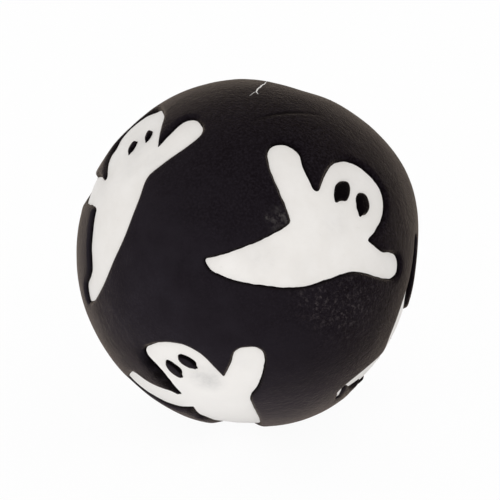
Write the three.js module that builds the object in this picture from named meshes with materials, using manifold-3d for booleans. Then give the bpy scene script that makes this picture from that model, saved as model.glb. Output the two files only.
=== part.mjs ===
// A squeaky dog ball: stuffed latex with white ghosts sunk into its skin and a reed squeaker in its back.
// Millimetres, +Z up. The origin is the middle of the flat patch that the ball rests on, and -Y is its front.

import * as THREE from 'three';
import { mergeVertices } from 'three/addons/utils/BufferGeometryUtils.js';
import Module from 'manifold-3d';

const wasm = await Module();
wasm.setup();

// The ball
const BALL_RADIUS = 32.5;
const FOOT_RADIUS = 6; // the patch that the soft ball sinks flat on
const SKIN_WALL = 3;
const CLEARANCE = 0.3; // between pieces that touch
const OUTER_DETAIL = 6; // facets of the skin's outer face
const INNER_DETAIL = 4; // facets of every face under it

// Lumps of the hand-cast skin: where they lie, how high they rise and how far they spread
const LUMPS = [
  { longitude: 103, latitude: 25, rise: 1, spread: 13 },
  { longitude: 146, latitude: 61, rise: -0.85, spread: 6 },
  { longitude: 41, latitude: -58, rise: 0.95, spread: 12 },
  { longitude: -41, latitude: -58, rise: 0.6, spread: 11 },
  { longitude: 87, latitude: -5, rise: -0.75, spread: 10 },
  { longitude: -94, latitude: 9, rise: -0.45, spread: 20 },
  { longitude: -117, latitude: 44, rise: -0.25, spread: 14 },
  { longitude: 178, latitude: 15, rise: 0.4, spread: 10 },
];

// The ghosts, drawn flat on a ball of DRAWN_RADIUS with their eyes level
const DRAWN_RADIUS = 32.5;
const GHOST_SINK = 0.8; // from the skin down to the white coat
const COAT_THICKNESS = 0.4;
const OUTLINE_STEP = 3;
const EYE_WIDTH = 3.4;
const EYE_HEIGHT = 5.1;
const EYE_POINT = 0.35; // how far the eye's foot narrows to a point, as a share of its half width
const EYE_SEGMENTS = 4;
const EYE_GAP = 1.7;
const EYES_AT = [5.65, 7.75]; // halfway between the eyes
const HEAD = [
  [11.8, 1.9], [12.9, 5.2], [13.5, 9], [12.4, 13], [8.6, 15], [4.4, 15.1], [0.9, 13.4], [-0.9, 10],
  [-1.3, 5.6],
];
const RAISED_ARM = [
  [-1.3, 5.6], [-2.1, 5.2], [-3.6, 6.6], [-5.6, 9], [-6.9, 11.4], [-9.2, 12.3], [-11.6, 11.5], [-12.4, 9.2],
  [-11.2, 6.2], [-8.6, 2.7], [-5.6, -0.8], [-4.7, -2.5],
];
const BACK = [[-4.7, -2.5], [-5.9, -4.6], [-8.4, -7.8], [-12.2, -11], [-14.6, -13.3], [-16.3, -14.4]];
const HEM_AND_LOW_ARM = [
  [-16.3, -14.4], [-14.4, -16], [-10, -16.2], [-4.4, -15], [1.6, -12.6], [6.2, -9], [9.8, -5.7], [13.4, -4.1],
  [18.2, -2.8], [21.6, -1.2], [22.6, 1.1], [20.9, 3.1], [18.6, 2.8], [16, 1.7], [11.8, 1.9],
];

// Where each ghost lies and how far it is rolled. The ones that the photograph shows were carved by hand, so
// some have a width or eyes of their own, and pushes off the drawing: a place, the way it moved and its reach
const AS_DRAWN = {
  width: 1, eyesAt: EYES_AT, eyeGap: EYE_GAP, eyeRise: 0, eyeSize: [1, 1], eyeTurn: 0, pushes: [],
};
const GHOSTS = [
  {
    name: 'ghost_left', longitude: -73, latitude: 33, roll: 66,
    eyesAt: [8.75, 4.7], eyeGap: 2.34, eyeRise: 0.4, eyeSize: [0.46, 0.66], eyeTurn: 26,
    pushes: [
      { at: [5, 15.3], by: [0.3, 3.2], reach: 5.2 },
      { at: [2, 14.5], by: [-1.2, 1.5], reach: 3.5 },
      { at: [-1.7, 5.4], by: [0.9, -3.2], reach: 2.2 },
      { at: [-9.2, 12.3], by: [-3, 3], reach: 4.5 },
      { at: [-7.5, -6.5], by: [-0.8, 0.7], reach: 4 },
      { at: [-16.3, -14.4], by: [-3.8, 1.2], reach: 3.5 },
      { at: [-14.6, -13.3], by: [0, 1.6], reach: 2.2 },
      { at: [18.6, 2.8], by: [-0.4, 2.1], reach: 4 },
      { at: [11.8, 1.9], by: [1, -1.7], reach: 2.2 },
    ],
  },
  { name: 'ghost_front', longitude: 27.3, latitude: 32.5, roll: -36.3 },
  {
    name: 'ghost_low', longitude: -20, latitude: -39, roll: 48,
    eyesAt: [7.85, 9.25], eyeGap: 1.58, eyeRise: -0.5, eyeSize: [0.74, 0.92],
    pushes: [
      { at: [5.5, 15.1], by: [0, 0.9], reach: 3 },
      { at: [0.9, 13.4], by: [1.2, 1.2], reach: 2.5 },
      { at: [-0.9, 10], by: [3.3, 0], reach: 3.2 },
      { at: [-1.7, 5.4], by: [1, -1.1], reach: 2.2 },
      { at: [-6.5, 10.5], by: [1.2, 1.2], reach: 3 },
      { at: [-10.5, 12.2], by: [0, -0.9], reach: 2 },
      { at: [-12.4, 8], by: [-4, 0], reach: 4.2 },
      { at: [-4.7, -2.5], by: [2.3, 2.4], reach: 2.5 },
      { at: [-5.9, -4.6], by: [-1.15, -0.6], reach: 2 },
      { at: [-8.4, -7.8], by: [0.8, 3.4], reach: 4.5 },
      { at: [4, -11], by: [-0.4, 1.1], reach: 5.5 },
      { at: [22.6, 1.1], by: [-1.2, -0.4], reach: 2.5 },
      { at: [16.8, 2.2], by: [-0.3, 1.5], reach: 2.2 },
    ],
  },
  {
    name: 'ghost_right', longitude: 73.5, latitude: -24.3, roll: -147, width: 0.86,
    eyesAt: [5.65, 9.6], eyeGap: 1,
    pushes: [
      { at: [-6.5, -5.5], by: [-0.7, 0.5], reach: 2.5 },
      { at: [-6, -15.5], by: [0, 3], reach: 7 },
      { at: [3, -11.5], by: [-1.2, 1.5], reach: 4.5 },
      { at: [9, -6.5], by: [-2.6, 2.6], reach: 3.6 },
      { at: [22.6, 1.1], by: [-2.3, 0], reach: 3 },
      { at: [18.6, 2.8], by: [0.6, -3.8], reach: 1.4 },
      { at: [12.5, 4.5], by: [2, 0], reach: 3.5 },
    ],
  },
  { name: 'ghost_back_right', longitude: 127, latitude: -14, roll: -114 },
  { name: 'ghost_back_top', longitude: 165.5, latitude: 36.5, roll: 171 },
  { name: 'ghost_back_left', longitude: -145.5, latitude: 12, roll: -31 },
  { name: 'ghost_back_low', longitude: -129, latitude: -45.5, roll: -6 },
].map((ghost) => ({ ...AS_DRAWN, ...ghost }));

// The squeaker, turned about an axis that leaves the ball's back below its middle
const SQUEAKER_LATITUDE = -30;
const TURNED_SEGMENTS = 28;
const BORE_RADIUS = 3.9;
const BARREL_WALL = 1.1;
const FLANGE_REACH = 4; // beyond the barrel
const FLANGE_EDGE = 0.9;
const BARB_REACH = 2.2;
const BARB_LENGTH = 2.2;
const COLLAR_REACH = 1.5; // of the skin's thickened ring, beyond the flange
const COLLAR_WALL = 2.4;
const OUTLET_RADIUS = 1.6;
const OUTLET_LENGTH = 2.4;
const BARREL_LENGTH = 17; // from the ball's surface
const DOME_STEPS = 4;
const GUARD_WALL = 1;
const GUARD_LAP = 3; // of the guard over the barrel
const GUARD_HOLES = 4;
const GUARD_HOLE_RADIUS = 1.1;
const GUARD_HOLE_CIRCLE = 2.6;
const HOLE_SEGMENTS = 10;

// The reed and the two half rounds that hold it
const REED_THICKNESS = 0.25;
const REED_WIDTH = 5;
const REED_ROOT = 3.6;
const REED_TONGUE = 6;
const REED_SWING = 3.5; // degrees each way
const BED_OVERHANG = 0.5; // of the bed past the reed's tip
const CLAMP_START = 4; // from the ball's surface
const GROOVE_WIDTH = 2.6;
const GROOVE_DEPTH = 1.5;
const GROOVE_END_WALL = 1.4;
const HALF_ROUND_SEGMENTS = 10;

const centreHeight = Math.sqrt(BALL_RADIUS ** 2 - FOOT_RADIUS ** 2);
const pocketDepth = GHOST_SINK + COAT_THICKNESS + CLEARANCE;
const barrelRadius = BORE_RADIUS + BARREL_WALL;
const flangeRadius = barrelRadius + FLANGE_REACH;
const barbRadius = barrelRadius + BARB_REACH;
const seatRadius = flangeRadius + CLEARANCE;
const collarRadius = seatRadius + COLLAR_REACH;

// Depths along the squeaker's axis, negative into the ball
const domeSag = BALL_RADIUS - Math.sqrt(BALL_RADIUS ** 2 - flangeRadius ** 2);
const flangeBase = -domeSag - FLANGE_EDGE;
const seatFloor = flangeBase - CLEARANCE;
const collarBase = seatFloor - COLLAR_WALL;
const barbTop = collarBase - CLEARANCE;
const barbEnd = barbTop - BARB_LENGTH;
const boreTop = -OUTLET_LENGTH;
const guardFloor = -BARREL_LENGTH - CLEARANCE;
const guardEnd = guardFloor - GUARD_WALL;
const hingeDepth = -CLAMP_START - REED_ROOT - CLEARANCE;

const blackLatex = { color: 0x1f1b20, roughness: 0.75, metalness: 0 };
const whiteLatex = { color: 0xe9e6e1, roughness: 0.6, metalness: 0 };
const fibre = { color: 0xf2efe8, roughness: 1, metalness: 0 };
const whitePlastic = { color: 0xe4e2da, roughness: 0.45, metalness: 0 };
const amberFilm = { color: 0xc8a45a, roughness: 0.3, metalness: 0 };

// Closed solids for cuts and joins
function toSolid(geometry) {
  const bare = geometry.clone();
  bare.deleteAttribute('normal');
  bare.deleteAttribute('uv');
  const merged = mergeVertices(bare);
  const mesh = new wasm.Mesh({
    numProp: 3,
    vertProperties: Float32Array.from(merged.attributes.position.array),
    triVerts: Uint32Array.from(merged.index.array),
  });
  return new wasm.Manifold(mesh);
}

function toGeometry(solid) {
  const { vertProperties, triVerts } = solid.getMesh();
  const geometry = new THREE.BufferGeometry();
  geometry.setAttribute('position', new THREE.Float32BufferAttribute(vertProperties, 3));
  geometry.setIndex([...triVerts]);
  geometry.computeVertexNormals();
  return geometry;
}

function piece(name, geometry, finish) {
  const mesh = new THREE.Mesh(geometry, new THREE.MeshStandardMaterial(finish));
  mesh.name = name;
  return mesh;
}

// Directions on the ball: longitude 0 is the front, and it grows towards +X
function direction(longitude, latitude) {
  const turn = THREE.MathUtils.degToRad(longitude);
  const climb = THREE.MathUtils.degToRad(latitude);
  return new THREE.Vector3(
    Math.sin(turn) * Math.cos(climb), -Math.cos(turn) * Math.cos(climb), Math.sin(climb));
}

const lumps = LUMPS.map((lump) => ({ ...lump, at: direction(lump.longitude, lump.latitude) }));

function surfaceRadius(towards) {
  return lumps.reduce((radius, { at, rise, spread }) => {
    const along = towards.angleTo(at) * BALL_RADIUS;
    return radius + rise * Math.exp(-((along / spread) ** 2));
  }, BALL_RADIUS);
}

// The lumpy ball, drawn in by a depth
function lumpyBall(depth, detail) {
  const geometry = new THREE.IcosahedronGeometry(1, detail);
  const { position } = geometry.attributes;
  const point = new THREE.Vector3();
  for (let k = 0; k < position.count; k += 1) {
    point.fromBufferAttribute(position, k).normalize();
    point.multiplyScalar(surfaceRadius(point) - depth);
    position.setXYZ(k, point.x, point.y, point.z + centreHeight);
  }
  return toSolid(geometry);
}

// One ghost's outline: smooth runs that meet at its armpits and its tail
function runPoints(run) {
  const curve = new THREE.SplineCurve(run.map(([x, y]) => new THREE.Vector2(x, y)));
  return curve.getSpacedPoints(Math.round(curve.getLength() / OUTLINE_STEP)).slice(0, -1);
}

// A point of the drawing where the carver put it
function carved([x, y], { width, pushes }) {
  const moved = new THREE.Vector2(x, y);
  for (const { at, by, reach } of pushes) {
    const share = Math.exp(-((x - at[0]) ** 2 + (y - at[1]) ** 2) / reach ** 2);
    moved.addScaledVector(new THREE.Vector2(...by), share);
  }
  return [moved.x * width, moved.y];
}

function eyePoints(x, y, width, height, turn) {
  const halfHeight = height / 2;
  const bulge = width * 2 / 3;
  const eye = new THREE.Path();
  eye.moveTo(x, y - halfHeight);
  eye.bezierCurveTo(
    x + bulge, y - halfHeight * (1 - EYE_POINT), x + bulge, y + halfHeight, x, y + halfHeight);
  eye.bezierCurveTo(
    x - bulge, y + halfHeight, x - bulge, y - halfHeight * (1 - EYE_POINT), x, y - halfHeight);
  const middle = new THREE.Vector2(x, y);
  const points = eye.getPoints(EYE_SEGMENTS).slice(0, -1);
  return points.map((point) => point.rotateAround(middle, -THREE.MathUtils.degToRad(turn)));
}

// Moves a counter-clockwise outline outwards
function grown(points, distance) {
  return points.map((point, k) => {
    const before = points.at(k - 1);
    const after = points[(k + 1) % points.length];
    const outwards = new THREE.Vector2(after.y - before.y, before.x - after.x).normalize();
    return point.clone().addScaledVector(outwards, distance);
  });
}

// A ghost's two eyes, as far apart as their width and the gap between them need
function eyeOutlines({ width, eyesAt, eyeGap, eyeRise, eyeSize, eyeTurn }, growth) {
  const eyeWidth = EYE_WIDTH * eyeSize[0];
  const eyeHeight = EYE_HEIGHT * eyeSize[1];
  return [-1, 1].map((side) => {
    const x = eyesAt[0] * width + side * (eyeWidth + eyeGap) / 2;
    const y = eyesAt[1] + side * eyeRise / 2;
    return grown(eyePoints(x, y, eyeWidth, eyeHeight, eyeTurn), growth);
  });
}

// Distances along the drawn ball become distances on the plane that touches the ball at the ghost's middle
function onTangentPlane(points) {
  return points.map((point) => {
    const along = point.length();
    return along === 0 ? point : point.clone().multiplyScalar(
      BALL_RADIUS * Math.tan(along / DRAWN_RADIUS) / along);
  });
}

// A ghost as a wedge with its tip at the ball's middle
function ghostWedge(ghost, growth, eyes) {
  const runs = [HEAD, RAISED_ARM, BACK, HEM_AND_LOW_ARM];
  const outline = runs.flatMap((run) => runPoints(run.map((point) => carved(point, ghost))));
  const shape = new THREE.Shape(onTangentPlane(grown(outline, growth)));
  shape.holes = eyes.map((eye) => new THREE.Path(onTangentPlane(eye)));
  const nearest = BALL_RADIUS * 0.6;
  const farthest = BALL_RADIUS * 1.2;
  const geometry = new THREE.ExtrudeGeometry(shape, { depth: farthest - nearest, bevelEnabled: false });
  const { position } = geometry.attributes;
  for (let k = 0; k < position.count; k += 1) {
    const height = nearest + position.getZ(k);
    const spread = height / BALL_RADIUS;
    position.setXYZ(k, position.getX(k) * spread, position.getY(k) * spread, height);
  }
  const outwards = direction(ghost.longitude, ghost.latitude);
  const east = direction(ghost.longitude + 90, 0);
  const north = outwards.clone().cross(east);
  const placed = new THREE.Matrix4().makeBasis(east, north, outwards);
  placed.multiply(new THREE.Matrix4().makeRotationZ(THREE.MathUtils.degToRad(ghost.roll)));
  placed.setPosition(0, 0, centreHeight);
  return toSolid(geometry.applyMatrix4(placed));
}

// Turned pieces, given as radius and height along +Z
function turned(profile, segments = TURNED_SEGMENTS) {
  const points = profile.map(([radius, height]) => new THREE.Vector2(radius, height));
  return new THREE.LatheGeometry(points, segments).rotateX(Math.PI / 2);
}

function plugCylinder(radius, low, high, segments = TURNED_SEGMENTS) {
  return turned([[0, low], [radius, low], [radius, high], [0, high]], segments);
}

function boxAt(width, depth, height, x, y, z) {
  return new THREE.BoxGeometry(width, depth, height).translate(x, y, z);
}

// The squeaker's own frame: its origin on the ball's surface and its +Z out of the ball
const squeaker = new THREE.Group();
squeaker.position.copy(direction(180, SQUEAKER_LATITUDE)).multiplyScalar(BALL_RADIUS);
squeaker.position.z += centreHeight;
squeaker.rotation.x = -THREE.MathUtils.degToRad(90 - SQUEAKER_LATITUDE);
squeaker.updateMatrixWorld();
const inSqueaker = (geometry) => toSolid(geometry.applyMatrix4(squeaker.matrixWorld));

// Skin and coats
const outerBall = lumpyBall(0, OUTER_DETAIL);
const coatTop = lumpyBall(GHOST_SINK, INNER_DETAIL);
const coatBase = lumpyBall(GHOST_SINK + COAT_THICKNESS, INNER_DETAIL);
const pocketFloor = lumpyBall(pocketDepth, INNER_DETAIL);
const belowFoot = toSolid(boxAt(
  BALL_RADIUS * 3, BALL_RADIUS * 3, BALL_RADIUS, 0, 0, -BALL_RADIUS / 2));

function makeSkin() {
  let skin = outerBall.subtract(belowFoot).subtract(lumpyBall(SKIN_WALL, INNER_DETAIL));
  skin = skin.add(inSqueaker(plugCylinder(collarRadius, collarBase, seatFloor)));
  skin = skin.subtract(inSqueaker(plugCylinder(seatRadius, seatFloor, BALL_RADIUS)));
  skin = skin.subtract(inSqueaker(plugCylinder(barrelRadius + CLEARANCE, collarBase * 2, BALL_RADIUS)));
  for (const ghost of GHOSTS) {
    skin = skin.subtract(ghostWedge(ghost, CLEARANCE, eyeOutlines(ghost, 0)).subtract(pocketFloor));
  }
  return piece('latex_skin', toGeometry(skin), blackLatex);
}

// Where two ghosts would meet, the later one gives way
function makeCoats() {
  return GHOSTS.map((ghost, k) => {
    let coat = ghostWedge(ghost, 0, eyeOutlines(ghost, CLEARANCE)).intersect(coatTop).subtract(coatBase);
    for (const earlier of GHOSTS.slice(0, k)) {
      coat = coat.subtract(ghostWedge(earlier, CLEARANCE, []));
    }
    return piece(ghost.name, toGeometry(coat), whiteLatex);
  });
}

function makeFilling() {
  let filling = lumpyBall(SKIN_WALL + CLEARANCE, INNER_DETAIL);
  filling = filling.subtract(inSqueaker(plugCylinder(
    collarRadius + CLEARANCE, barbTop, BALL_RADIUS)));
  filling = filling.subtract(inSqueaker(plugCylinder(
    barbRadius + CLEARANCE, guardEnd - CLEARANCE, BALL_RADIUS)));
  return piece('fibre_filling', toGeometry(filling), fibre);
}

// Squeaker plug: a domed flange flush with the ball, a barb behind the skin and an open barrel
function makePlug() {
  const dome = [];
  for (let k = 0; k <= DOME_STEPS; k += 1) {
    const radius = OUTLET_RADIUS + (flangeRadius - OUTLET_RADIUS) * k / DOME_STEPS;
    dome.push([radius, Math.sqrt(BALL_RADIUS ** 2 - radius ** 2) - BALL_RADIUS]);
  }
  const profile = [
    ...dome, [flangeRadius, flangeBase], [barrelRadius, flangeBase], [barrelRadius, barbTop],
    [barbRadius, barbTop], [barrelRadius, barbEnd], [barrelRadius, -BARREL_LENGTH],
    [BORE_RADIUS, -BARREL_LENGTH], [BORE_RADIUS, boreTop], [OUTLET_RADIUS, boreTop], dome[0],
  ];
  return piece('squeaker_plug', turned(profile.reverse()), whitePlastic);
}

// Guard: a cap with air holes that keeps the fibre out of the barrel
function makeGuard() {
  const inner = barrelRadius + CLEARANCE;
  const outer = inner + GUARD_WALL;
  const lip = -BARREL_LENGTH + GUARD_LAP;
  let guard = toSolid(turned([
    [0, guardEnd], [outer, guardEnd], [outer, lip], [inner, lip], [inner, guardFloor], [0, guardFloor],
  ]));
  for (let k = 0; k < GUARD_HOLES; k += 1) {
    const angle = 2 * Math.PI * k / GUARD_HOLES;
    const hole = plugCylinder(GUARD_HOLE_RADIUS, guardEnd * 2, guardFloor / 2, HOLE_SEGMENTS);
    hole.translate(GUARD_HOLE_CIRCLE * Math.cos(angle), GUARD_HOLE_CIRCLE * Math.sin(angle), 0);
    guard = guard.subtract(toSolid(hole));
  }
  return piece('squeaker_guard', toGeometry(guard), whitePlastic);
}

// Half of a round bar, cut flat on the side of the reed, along Z from low to high
function halfRound(low, high) {
  const radius = BORE_RADIUS - CLEARANCE;
  const flat = REED_THICKNESS / 2 + CLEARANCE;
  const edge = Math.asin(flat / radius);
  const shape = new THREE.Shape();
  shape.absarc(0, 0, radius, Math.PI + edge, 2 * Math.PI - edge, false);
  const settings = { depth: high - low, bevelEnabled: false, curveSegments: HALF_ROUND_SEGMENTS };
  return new THREE.ExtrudeGeometry(shape, settings).translate(0, 0, low);
}

const clampEnd = hingeDepth;
const reedTip = hingeDepth - REED_TONGUE;
const bedEnd = reedTip - BED_OVERHANG;

// Bed: its face falls away under the tongue by less than the swing, and a groove carries the air out
function makeBed() {
  const flat = -REED_THICKNESS / 2 - CLEARANCE;
  const fall = Math.tan(THREE.MathUtils.degToRad(REED_SWING) / 2) * (hingeDepth - bedEnd);
  const relief = new THREE.Shape();
  relief.moveTo(hingeDepth, flat);
  relief.lineTo(bedEnd, flat - fall);
  relief.lineTo(bedEnd - BED_OVERHANG, flat - fall);
  relief.lineTo(bedEnd - BED_OVERHANG, BORE_RADIUS);
  relief.lineTo(hingeDepth, BORE_RADIUS);
  const width = BORE_RADIUS * 3;
  const wedge = new THREE.ExtrudeGeometry(relief, { depth: width, bevelEnabled: false });
  wedge.translate(0, 0, -width / 2).rotateY(-Math.PI / 2);
  const grooveEnd = bedEnd + GROOVE_END_WALL;
  const grooveLength = -CLAMP_START - grooveEnd;
  const groove = boxAt(
    GROOVE_WIDTH, GROOVE_DEPTH * 2, grooveLength * 2, 0, flat, grooveEnd + grooveLength);
  const bed = toSolid(halfRound(bedEnd, -CLAMP_START)).subtract(toSolid(wedge)).subtract(toSolid(groove));
  return piece('reed_bed', toGeometry(bed), whitePlastic);
}

function makeClamp() {
  return piece('reed_clamp', halfRound(clampEnd, -CLAMP_START).rotateZ(Math.PI).clone(), whitePlastic);
}

function makeReed() {
  const length = REED_ROOT + REED_TONGUE;
  const reed = boxAt(REED_WIDTH, REED_THICKNESS, length, 0, 0, reedTip + length / 2);
  return piece('reed', reed, amberFilm);
}

const ball = new THREE.Group();
ball.add(makeSkin(), ...makeCoats(), makeFilling());
squeaker.add(makePlug(), makeGuard(), makeBed(), makeClamp(), makeReed());
ball.add(squeaker);

export default ball;
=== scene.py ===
# Looks of a stuffed latex dog ball with white ghosts sunk into its skin.
# Shapes are worked out in millimetres in the part's frame and turned into metres as each mesh is made.

import math

import bmesh
import bpy
import numpy as np
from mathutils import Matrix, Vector, noise
from mathutils.geometry import delaunay_2d_cdt


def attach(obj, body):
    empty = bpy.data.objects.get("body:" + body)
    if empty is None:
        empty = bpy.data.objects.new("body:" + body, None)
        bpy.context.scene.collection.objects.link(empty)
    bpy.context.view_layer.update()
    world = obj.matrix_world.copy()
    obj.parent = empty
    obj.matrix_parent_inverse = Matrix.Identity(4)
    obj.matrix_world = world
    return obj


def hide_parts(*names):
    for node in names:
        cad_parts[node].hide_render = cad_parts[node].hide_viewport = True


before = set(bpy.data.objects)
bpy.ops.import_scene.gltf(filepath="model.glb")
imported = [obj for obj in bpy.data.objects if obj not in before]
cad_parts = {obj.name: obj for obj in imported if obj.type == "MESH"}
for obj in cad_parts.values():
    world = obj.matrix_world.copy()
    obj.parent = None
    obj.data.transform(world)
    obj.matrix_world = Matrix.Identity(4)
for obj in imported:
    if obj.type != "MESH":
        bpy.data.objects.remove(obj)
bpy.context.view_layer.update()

MM = 0.001

# The ball, as in the part's source
BALL_RADIUS = 32.5
FOOT_RADIUS = 6
CENTRE = np.array([0, 0, math.sqrt(BALL_RADIUS ** 2 - FOOT_RADIUS ** 2)])
SKIN_WALL = 3
CLEARANCE = 0.3

# Lumps of the hand-cast skin: longitude, latitude, rise and spread
LUMPS = [
    (103, 25, 1, 13),
    (146, 61, -0.85, 6),
    (41, -58, 0.95, 12),
    (-41, -58, 0.6, 11),
    (87, -5, -0.75, 10),
    (-94, 9, -0.45, 20),
    (-117, 44, -0.25, 14),
    (178, 15, 0.4, 10),
]
RIPPLES = [(7, 0.09), (3, 0.03)]  # wavelength and height of the skin's small waves

# The ghosts, drawn flat on the ball with their eyes level
GHOST_SINK = 0.82
POCKET_FLOOR = 0.9
UNDER_COAT = 1.05
COAT_BASE = 1.25
HEAD = [(11.8, 1.9), (12.9, 5.2), (13.5, 9), (12.4, 13), (8.6, 15), (4.4, 15.1), (0.9, 13.4), (-0.9, 10),
        (-1.3, 5.6)]
RAISED_ARM = [(-1.3, 5.6), (-2.1, 5.2), (-3.6, 6.6), (-5.6, 9), (-6.9, 11.4), (-9.2, 12.3), (-11.6, 11.5),
              (-12.4, 9.2), (-11.2, 6.2), (-8.6, 2.7), (-5.6, -0.8), (-4.7, -2.5)]
BACK = [(-4.7, -2.5), (-5.9, -4.6), (-8.4, -7.8), (-12.2, -11), (-14.6, -13.3), (-16.3, -14.4)]
HEM_AND_LOW_ARM = [
    (-16.3, -14.4), (-14.4, -16), (-10, -16.2), (-4.4, -15), (1.6, -12.6), (6.2, -9), (9.8, -5.7),
    (13.4, -4.1), (18.2, -2.8), (21.6, -1.2), (22.6, 1.1), (20.9, 3.1), (18.6, 2.8), (16, 1.7), (11.8, 1.9),
]
LEFT_EYE = [(2.1, 5.7), (2.5, 5.2), (3.4, 6), (4.2, 6.4), (4.7, 7), (4.8, 8.2), (4.5, 9.6), (3.7, 10.4),
            (2.6, 10.1), (1.9, 9.3), (1.5, 8.2), (1.6, 6.9)]
RIGHT_EYE = [(7.8, 5.9), (8.4, 5.2), (8.9, 5.8), (9.7, 6.6), (9.9, 7.8), (9.5, 8.9), (8.6, 9.9), (7.5, 10.1),
             (6.8, 9.6), (6.5, 8.7), (6.6, 7.9), (7.1, 6.6)]
EYE_MIDDLES = [(3.1, 7.8), (8.2, 7.7)]
GHOST_REACH = 26  # no point of a ghost's wall lies farther from its middle

# Each ghost was carved by hand. It has its place on the ball, the width of its drawing, and its eyes, with
# their size and turn, and the share of their islands' tops left without the painted shade. Then come the
# places
# where it differs from the drawing: depths, where the pocket is deeper or shallower by a share, banks, where
# the wall is stretched into a soft slope and painted shade is laid on the skin, and pushes, where the
# outline was moved. Each is a point on the drawing, the change there and how far it reaches.
GHOSTS = [
    dict(
        name="ghost_left", longitude=-73, latitude=33, roll=66,
        eyes=[(6.8, 4.5), (10.7, 4.9)], eye_size=(0.46, 0.66), eye_turn=26, eye_unshaded=0.85,
        depths=[((3, 17), -0.45, 7), ((8.6, 17.4), 0.48, 3), ((-1.1, 12.8), 0.38, 2.2)],
        pushes=[
            ((18.6, 2.8), (-0.4, 2.1), 4), ((22.6, 1.1), (-0.5, -0.2), 2.5), ((11.8, 1.9), (1, -1.7), 2.2),
            ((12.9, 5.2), (0.5, 0), 2), ((12.4, 13), (-0.2, -0.3), 2), ((16, -3.5), (0.3, -0.8), 6),
            ((6.2, -9), (0.4, -0.4), 3.5), ((0, -13), (0.2, -0.7), 7), ((-16.3, -14.4), (-3.8, 1.2), 3.5),
            ((-14.6, -13.3), (0, 1.6), 2.2), ((-12.2, -11), (0.2, -0.5), 2), ((-7.5, -6.5), (-0.8, 0.7), 4),
            ((5, 15.3), (0.3, 3.2), 5.2), ((8.6, 15), (0.3, 0.4), 2), ((2, 14.5), (-1.2, 1.5), 3.5),
            ((-1.7, 5.4), (0.9, -3.2), 2.2), ((-0.9, 10), (-0.3, 0), 3), ((-5.6, 9), (-0.6, -0.4), 2),
            ((-9.2, 12.3), (-3, 3), 4.5),
        ]),
    dict(
        name="ghost_front", longitude=27.3, latitude=32.5, roll=-36.3, eyes=[(3.1, 7.6), (8.1, 7.5)],
        pushes=[
            ((11.8, 1.9), (-0.3, -0.2), 2), ((10.5, 14.2), (-0.2, -0.4), 3), ((-4.7, -2.5), (0.4, 0), 1.5),
            ((-12.2, -11), (0.2, -0.2), 2.5), ((-6, -15.5), (0, 0.2), 6),
        ]),
    dict(
        name="ghost_low", longitude=-20, latitude=-39, roll=48,
        eyes=[(5.8, 9.5), (9.9, 9)], eye_size=(0.74, 0.92), eye_unshaded=0.85, depths=[((-14, 8), -0.45, 5)],
        # banks: soft sloping walls, with painted shade laid on
        banks=[
            ((2.4, 13), 2.2, 2.4), ((1.2, 10.4), 2.6, 2.2), ((0.4, 8), 2.6, 2), ((-0.2, 6.4), 2, 1.6),
            ((-5.4, 2), 1.2, 1.9), ((-4.2, -0.6), 1.2, 1.8), ((-5.6, -3.6), 1.2, 1.6),
        ],
        pushes=[
            ((-8.4, -7.8), (1.3, -0.2), 2), ((-0.9, 10), (3.3, 0), 3.2), ((0.9, 13.4), (1.2, 1.2), 2.5),
            ((5.5, 15.1), (0, 0.9), 3), ((11.5, 14), (-0.5, -0.5), 3), ((-1.7, 5.4), (1, -1.1), 2.2),
            ((16.8, 2.2), (-0.3, 1.5), 2.2), ((22.6, 1.1), (-1.2, -0.4), 2.5),
            ((21.6, -1.2), (-0.3, 0.3), 1.5), ((20.9, 3.1), (-0.3, 0), 1.5), ((18.6, 2.8), (0, 0.4), 1.2),
            ((13.4, -4.1), (0.2, -0.5), 3), ((9.8, -5.7), (-0.2, 0.4), 2), ((4, -11), (-0.4, 1.1), 5.5),
            ((-4.7, -2.5), (2.3, 2.4), 2.5), ((-5.9, -4.6), (-1.15, -0.6), 2),
            ((-8.4, -7.8), (0.8, 3.4), 4.5), ((-8.6, 2.7), (0.4, -0.7), 3), ((-3.6, 6.6), (0.4, 0.3), 1.5),
            ((-6.5, 10.5), (1.2, 1.2), 3), ((-12.4, 8), (-4, 0), 4.2), ((-10.5, 12.2), (0, -0.9), 2),
        ]),
    dict(
        name="ghost_right", longitude=73.5, latitude=-24.3, roll=-147, width=0.86,
        eyes=[(3.1, 9.6), (9.1, 9.6)], depths=[((17, 1), -0.55, 2), ((-7, -6.3), 0.5, 3.2)],
        # banks: painted shade, with the wall also stretched into a slope at the second and third
        banks=[((15.6, 2.4), 0, 2.2), ((13.4, 3), 0.3, 1.8), ((-4.7, -2.6), 1.5, 1.8)],
        pushes=[
            ((-6, -15.5), (0, 3), 7), ((3, -11.5), (-1.2, 1.5), 4.5), ((9, -6.5), (-2.6, 2.6), 3.6),
            ((16, 1.7), (0, -0.4), 2), ((18.6, 2.8), (0.6, -4.3), 1.4), ((20.9, 3.1), (0.3, -0.5), 1.3),
            ((12.5, 4.5), (2, 0), 3.5), ((22.6, 1.1), (-2.3, 0), 3), ((-6.5, -5.5), (-0.7, 0.5), 2.5),
            ((-4.7, -2.5), (-0.5, -0.4), 1.5), ((-3, -14.6), (0, -0.6), 3),
        ]),
    dict(name="ghost_back_right", longitude=127, latitude=-14, roll=-114),
    dict(name="ghost_back_top", longitude=165.5, latitude=36.5, roll=171),
    dict(name="ghost_back_left", longitude=-145.5, latitude=12, roll=-31),
    dict(name="ghost_back_low", longitude=-129, latitude=-45.5, roll=-6),
]

# Wall of a pocket: distance outside the ghost's outline, and height of the skin there
WALL_DISTANCE = [-0.5, 0, 0.12, 0.28, 0.45, 0.65, 0.95, 1.4]
WALL_HEIGHT = [-UNDER_COAT, -POCKET_FLOOR, -0.78, -0.5, -0.27, -0.12, -0.03, 0]
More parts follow.
